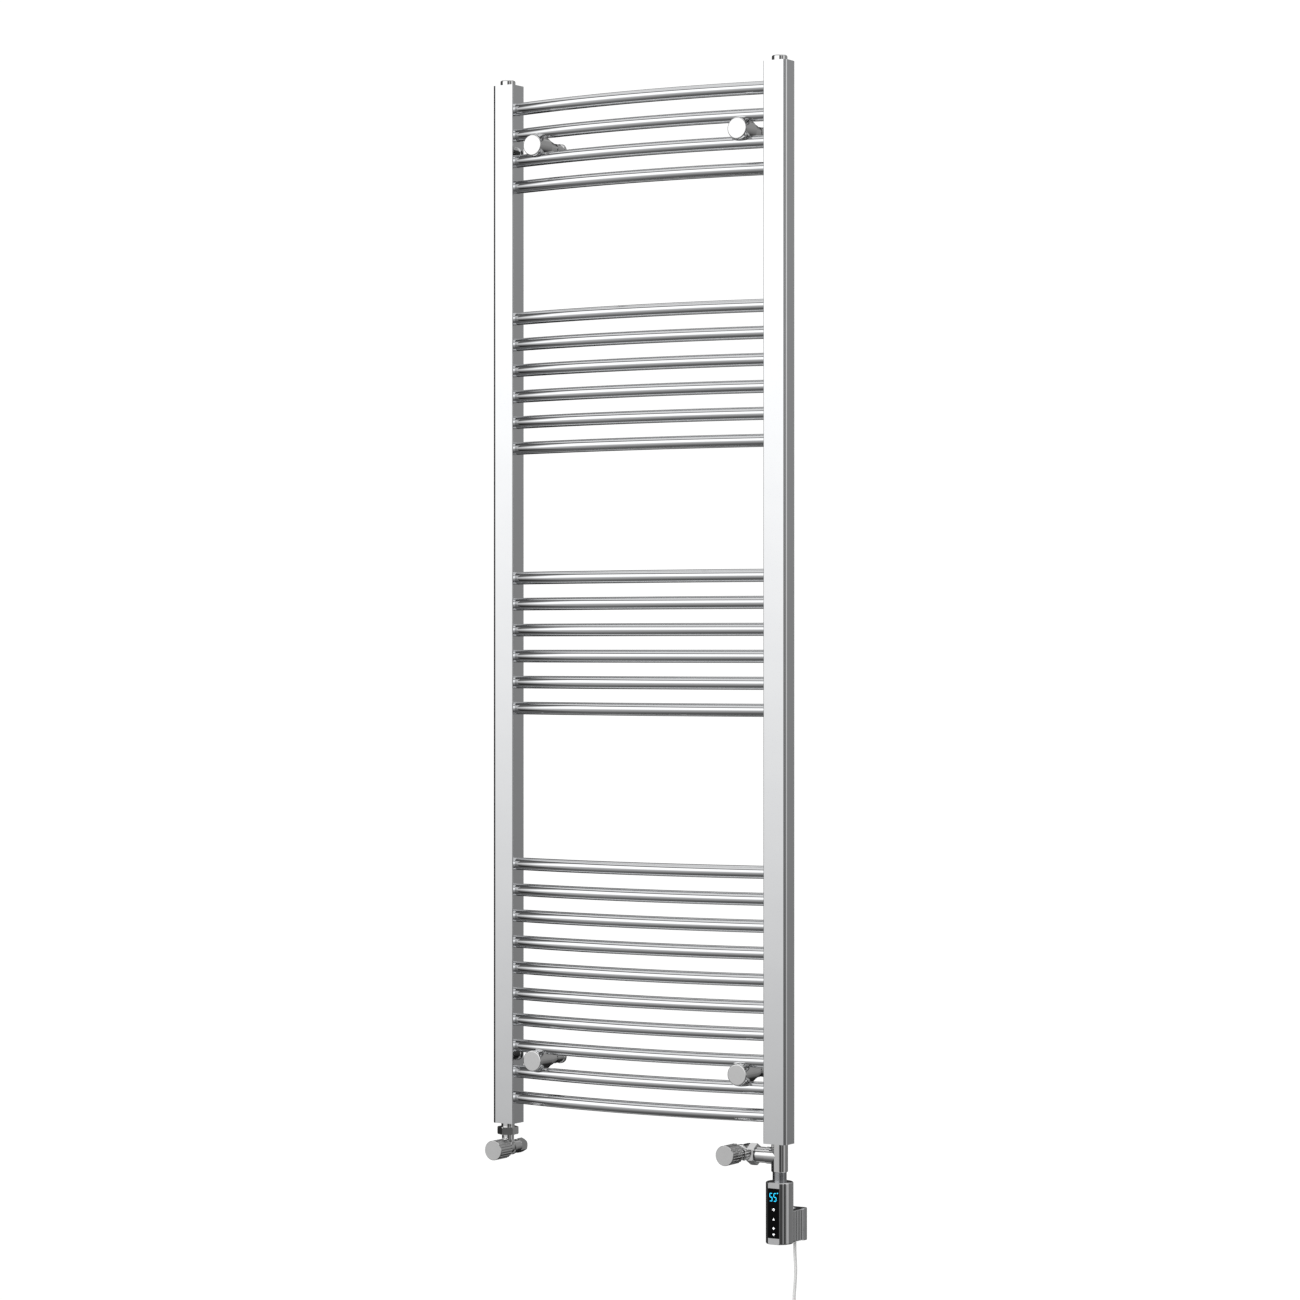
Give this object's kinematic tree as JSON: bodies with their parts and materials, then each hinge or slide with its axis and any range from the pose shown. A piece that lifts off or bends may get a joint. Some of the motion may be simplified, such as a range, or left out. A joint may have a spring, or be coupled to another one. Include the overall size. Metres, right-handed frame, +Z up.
{
  "type": "ladder towel radiator",
  "caption": "Chrome ladder towel radiator with bowed round bars between two upright tubes, angled valves below, and a thermostatic heating element on a tee with a mains lead.",
  "frame": {"origin": "middle of the four wall fixing holes, on the wall plane", "axes": "+Z up along the uprights, +Y into the wall so the front faces -Y, +X to the right towards the upright that carries the heating element"},
  "size_m": [0.5855, 0.113, 2.2977],
  "materials": {
    "chrome_tube": "bright chrome plate on steel tube",
    "chrome_fitting": "bright chrome plate on brass",
    "steel": "plain machined steel",
    "brass": "plain machined brass",
    "head_shell": "chromed plastic",
    "display_glass": "gloss black glass",
    "circuit_board": "matt",
    "cover_plastic": "chromed plastic",
    "gland_plastic": "satin",
    "cord_pvc": "satin",
    "tie_plastic": "satin",
    "plug_plastic": "satin"
  },
  "bodies": {
    "wall_brackets": {"wall_sockets": "chrome_fitting", "grub_screws": "steel"},
    "radiator": {"bar_01": "chrome_tube", "bar_02": "chrome_tube", "bar_03": "chrome_tube", "bar_04": "chrome_tube", "bar_05": "chrome_tube", "bar_06": "chrome_tube", "bar_07": "chrome_tube", "bar_08": "chrome_tube", "bar_09": "chrome_tube", "bar_10": "chrome_tube", "bar_11": "chrome_tube", "bar_12": "chrome_tube", "bar_13": "chrome_tube", "bar_14": "chrome_tube", "bar_15": "chrome_tube", "bar_16": "chrome_tube", "bar_17": "chrome_tube", "bar_18": "chrome_tube", "bar_19": "chrome_tube", "bar_20": "chrome_tube", "bar_21": "chrome_tube", "bar_22": "chrome_tube", "bar_23": "chrome_tube", "bar_24": "chrome_tube", "bar_25": "chrome_tube", "bar_26": "chrome_tube", "blanking_plug": "chrome_fitting", "bracket_arms": "chrome_fitting", "bracket_caps": "chrome_fitting", "bracket_screws": "steel", "cable_cover": "cover_plastic", "compression_nuts": "chrome_fitting", "control_board": "circuit_board", "cord_gland": "gland_plastic", "cord_hank": "cord_pvc", "cord_tie": "tie_plastic", "display_glass": "display_glass", "heating_element": "steel", "left_tail": "chrome_fitting", "left_valve_body": "chrome_fitting", "mains_cord": "cord_pvc", "mains_plug": "plug_plastic", "olives": "brass", "right_valve_body": "chrome_fitting", "tee_piece": "chrome_fitting", "thermostat_housing": "head_shell", "union_nuts": "chrome_fitting", "upright_left": "chrome_tube", "upright_right": "chrome_tube", "valve_bonnets": "chrome_fitting", "vent_plug": "chrome_fitting"},
    "left_grip": {"left_handle": "chrome_fitting", "left_spindle": "steel"},
    "right_grip": {"right_handle": "chrome_fitting", "right_spindle": "steel"},
    "left_disc": {"left_valve_disc": "brass"},
    "right_disc": {"right_valve_disc": "brass"},
    "vent_key": {"vent_screw": "steel"}
  },
  "joints": [
    {"name": "bracket_slide", "type": "slide", "parent": "wall_brackets", "child": "radiator", "axis": [0, -1, 0], "range_m": [-0.003, 0.01]},
    {"name": "left_handle_turn", "type": "hinge", "parent": "radiator", "child": "left_grip", "pos_m": [-0.2705, -0.066, -0.9455], "axis": [0, 1, 0], "range_deg": [0, 1260]},
    {"name": "right_handle_turn", "type": "hinge", "parent": "radiator", "child": "right_grip", "pos_m": [0.1914, -0.066, -0.9225], "axis": [0, 1, 0], "range_deg": [0, 1260]},
    {"name": "left_disc_lift", "type": "slide", "parent": "radiator", "child": "left_disc", "axis": [0, 1, 0], "range_m": [0, 0.0045]},
    {"name": "right_disc_lift", "type": "slide", "parent": "radiator", "child": "right_disc", "axis": [0, 1, 0], "range_m": [0, 0.0045]},
    {"name": "vent_turn", "type": "hinge", "parent": "radiator", "child": "vent_key", "pos_m": [-0.2705, -0.066, 0.898], "axis": [0, 0, 1], "range_deg": [0, 540]}
  ],
  "couplings": [
    {"joint": "left_disc_lift", "follows": "left_handle_turn", "m_per_rad": 0.00020008},
    {"joint": "right_disc_lift", "follows": "right_handle_turn", "m_per_rad": 0.00020008}
  ]
}
